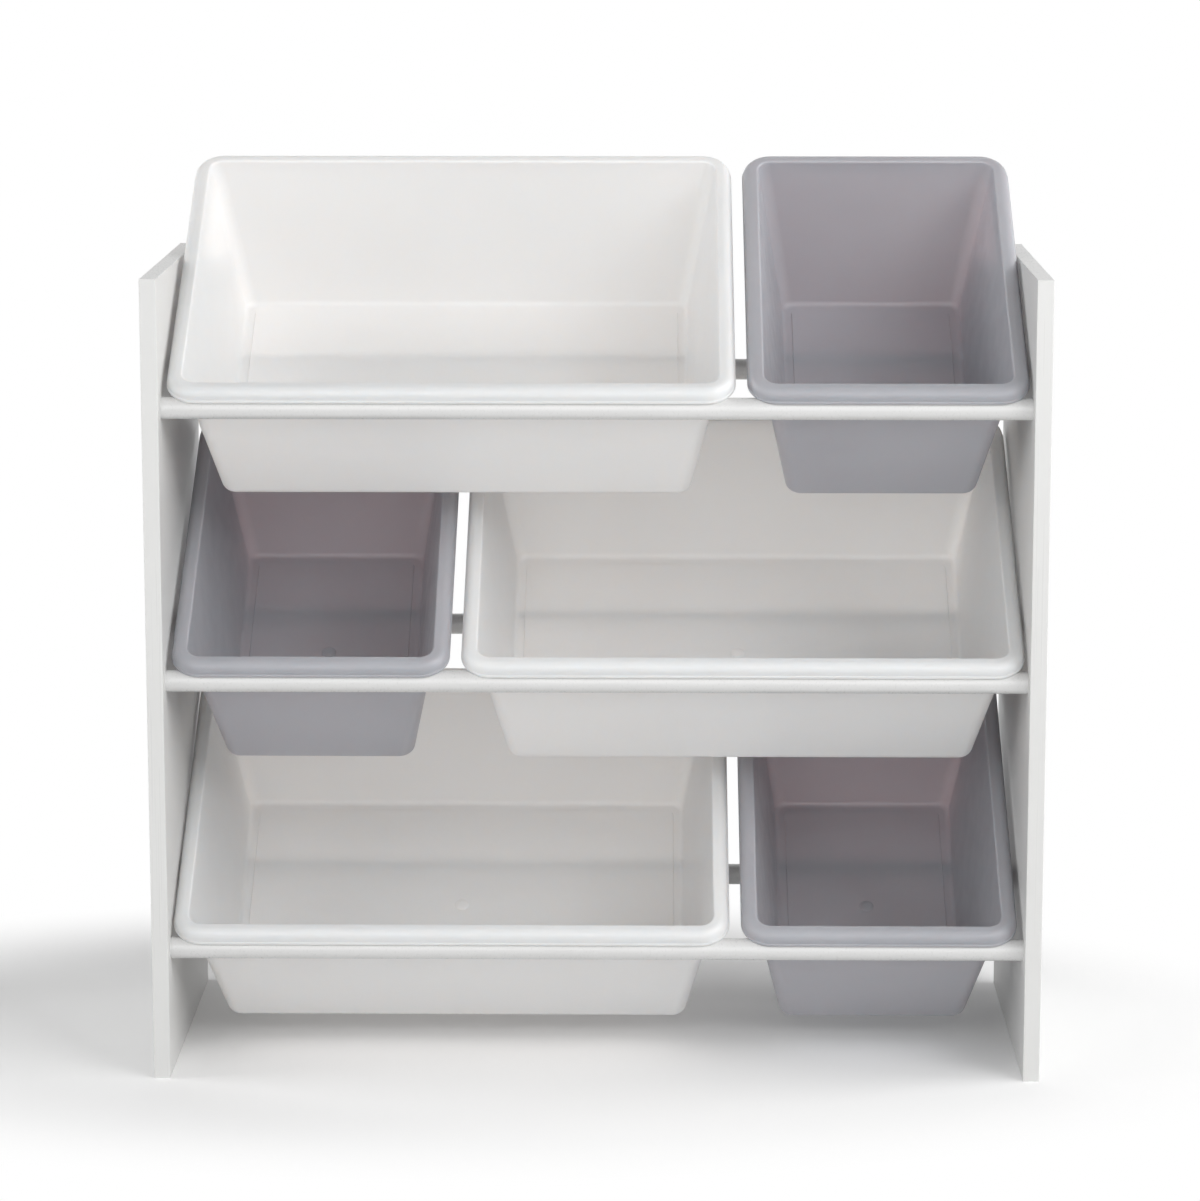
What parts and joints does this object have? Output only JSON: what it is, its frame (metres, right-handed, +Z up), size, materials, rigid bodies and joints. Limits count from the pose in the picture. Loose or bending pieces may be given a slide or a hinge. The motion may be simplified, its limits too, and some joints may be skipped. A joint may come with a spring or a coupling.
{
  "type": "toy storage organizer with bins",
  "caption": "Open floor-standing frame of two side panels and round rails that holds wide and narrow removable plastic tubs, tilted forward, for storing toys.",
  "frame": {"origin": "on the floor, at the centre of the whole object's footprint", "axes": "+X to the object's right seen from the front, +Y to the rear, +Z up"},
  "size_m": [0.65, 0.2858, 0.6583],
  "materials": {
    "panel_board": "white coated chipboard, satin",
    "edge_band": "white plastic edge band",
    "rail_plug": "white moulded plastic",
    "bolt_steel": "zinc-plated steel",
    "bolt_cap": "white plastic cover cap",
    "rail_tube": "white powder-coated tube",
    "white_tub": "off-white moulded plastic, lightly satin",
    "grey_tub": "grey moulded plastic, lightly satin"
  },
  "bodies": {
    "frame": {"left_side_panel": "panel_board", "left_front_edge_band": "edge_band", "left_rear_edge_band": "edge_band", "left_top_edge_band": "edge_band", "left_bottom_edge_band": "edge_band", "left_rail_plugs": "rail_plug", "left_panel_bolts": "bolt_steel", "left_bolt_caps": "bolt_cap", "right_side_panel": "panel_board", "right_front_edge_band": "edge_band", "right_rear_edge_band": "edge_band", "right_top_edge_band": "edge_band", "right_bottom_edge_band": "edge_band", "right_rail_plugs": "rail_plug", "right_panel_bolts": "bolt_steel", "right_bolt_caps": "bolt_cap", "front_rail_bottom": "rail_tube", "rear_rail_bottom": "rail_tube", "front_rail_middle": "rail_tube", "rear_rail_middle": "rail_tube", "front_rail_top": "rail_tube", "rear_rail_top": "rail_tube"},
    "large_bin_bottom_body": {"large_bin_bottom": "white_tub"},
    "small_bin_bottom_body": {"small_bin_bottom": "grey_tub"},
    "large_bin_middle_body": {"large_bin_middle": "white_tub"},
    "small_bin_middle_body": {"small_bin_middle": "grey_tub"},
    "large_bin_top_body": {"large_bin_top": "white_tub"},
    "small_bin_top_body": {"small_bin_top": "grey_tub"}
  },
  "joints": [
    {"name": "large_bin_top_lift", "type": "slide", "parent": "frame", "child": "large_bin_top_body", "axis": [0, -0.5386, 0.8426], "range_m": [0, 0.15]},
    {"name": "small_bin_top_lift", "type": "slide", "parent": "frame", "child": "small_bin_top_body", "axis": [0, -0.5386, 0.8426], "range_m": [0, 0.15]},
    {"name": "large_bin_middle_tilt", "type": "hinge", "parent": "frame", "child": "large_bin_middle_body", "pos_m": [0.1064, 0.09208, 0.2945], "axis": [-1, 0, 0], "range_deg": [0, 22]},
    {"name": "small_bin_middle_tilt", "type": "hinge", "parent": "frame", "child": "small_bin_middle_body", "pos_m": [-0.2083, 0.09208, 0.2945], "axis": [-1, 0, 0], "range_deg": [0, 22]},
    {"name": "large_bin_bottom_tilt", "type": "hinge", "parent": "frame", "child": "large_bin_bottom_body", "pos_m": [-0.107, 0.09208, 0.094], "axis": [-1, 0, 0], "range_deg": [0, 22]},
    {"name": "small_bin_bottom_tilt", "type": "hinge", "parent": "frame", "child": "small_bin_bottom_body", "pos_m": [0.2077, 0.09208, 0.094], "axis": [-1, 0, 0], "range_deg": [0, 22]}
  ]
}
